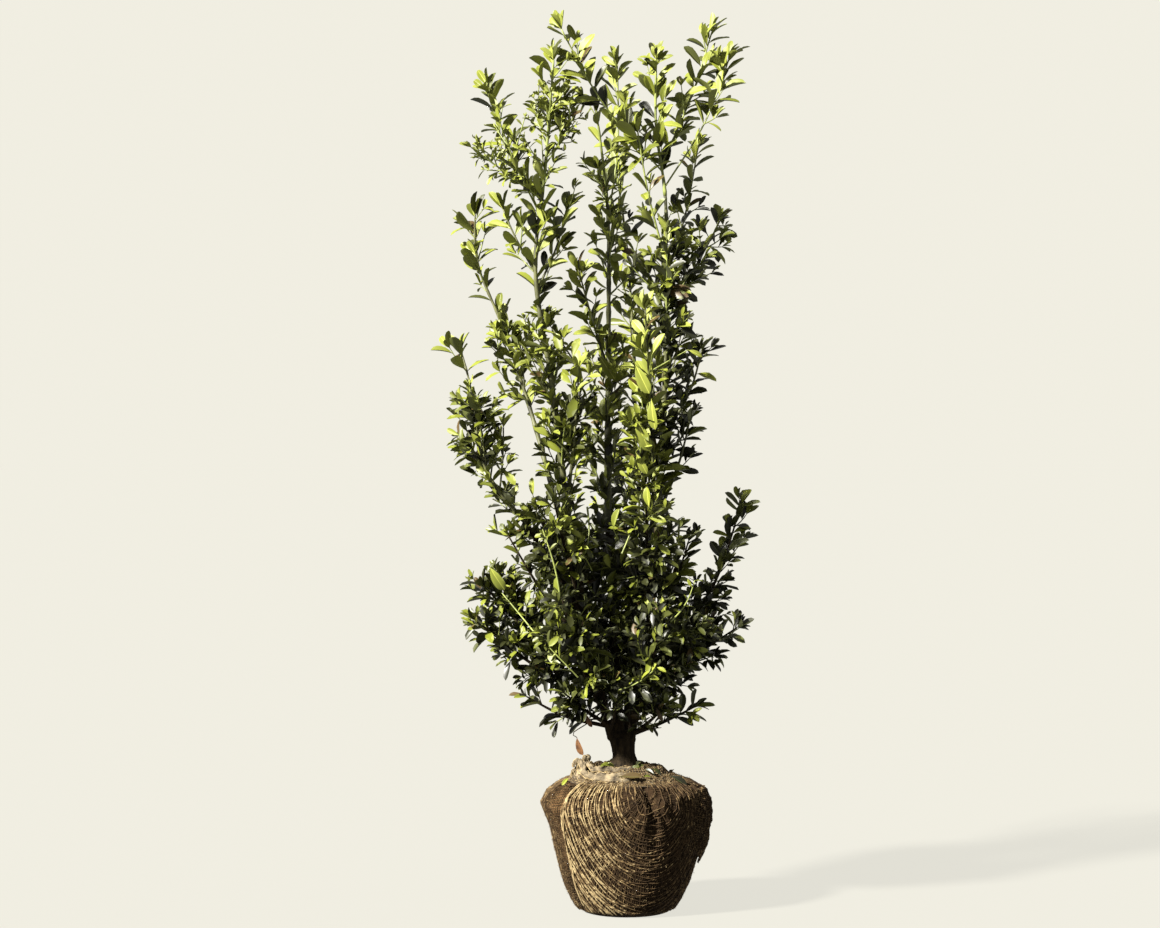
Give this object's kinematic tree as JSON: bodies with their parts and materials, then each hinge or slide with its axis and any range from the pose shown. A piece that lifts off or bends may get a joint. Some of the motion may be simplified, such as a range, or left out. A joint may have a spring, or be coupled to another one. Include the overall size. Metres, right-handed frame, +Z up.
{
  "type": "sapling with root ball",
  "caption": "Young broadleaf evergreen sapling with upright leafy stems, standing on a root ball wrapped in coarse hessian.",
  "frame": {"origin": "middle of the root ball's flat underside", "axes": "+Z up the plant, -Y towards the front, +X to the right seen from the front"},
  "size_m": [0.4754, 0.342, 1.3129],
  "materials": {
    "bark": "matte",
    "root_ball": "matte",
    "hessian": "matte",
    "old_leaf": "satin",
    "young_leaf": "satin"
  },
  "bodies": {
    "root": {"back_bough": "bark", "back_column": "old_leaf", "back_high": "old_leaf", "back_left": "old_leaf", "back_right": "old_leaf", "back_tip": "old_leaf", "burlap_flap": "hessian", "burlap_gather": "hessian", "centre_bough": "bark", "centre_column": "old_leaf", "centre_high": "old_leaf", "centre_middle": "young_leaf", "centre_tip": "young_leaf", "centre_top_bough": "bark", "far_left_arm": "old_leaf", "far_left_bough": "bark", "far_left_mass": "old_leaf", "far_left_tip": "young_leaf", "far_left_wand": "bark", "far_right": "young_leaf", "far_right_bough": "bark", "front_high_left": "old_leaf", "front_high_right": "old_leaf", "front_left": "old_leaf", "front_right": "old_leaf", "front_wand": "young_leaf", "heart": "old_leaf", "left_back_bough": "bark", "left_back_middle": "old_leaf", "left_bough": "bark", "left_column": "old_leaf", "left_high": "young_leaf", "left_leader": "young_leaf", "left_middle": "old_leaf", "left_shoulder": "old_leaf", "left_tip": "young_leaf", "left_wand": "young_leaf", "left_wand_tip": "young_leaf", "left_wing": "old_leaf", "low_left_limb": "old_leaf", "low_left_sprig": "old_leaf", "low_right_bough": "bark", "low_right_sprig": "old_leaf", "right_arm": "old_leaf", "right_bough": "bark", "right_column": "old_leaf", "right_hanger": "old_leaf", "right_high": "old_leaf", "right_leader": "young_leaf", "right_middle": "old_leaf", "right_shoulder": "old_leaf", "right_side": "old_leaf", "right_top_bough": "bark", "right_wand": "old_leaf", "root_ball": "root_ball", "side_shoot": "young_leaf", "top_centre": "young_leaf", "top_left": "young_leaf", "top_right": "young_leaf", "trunk": "bark"}
  },
  "joints": []
}
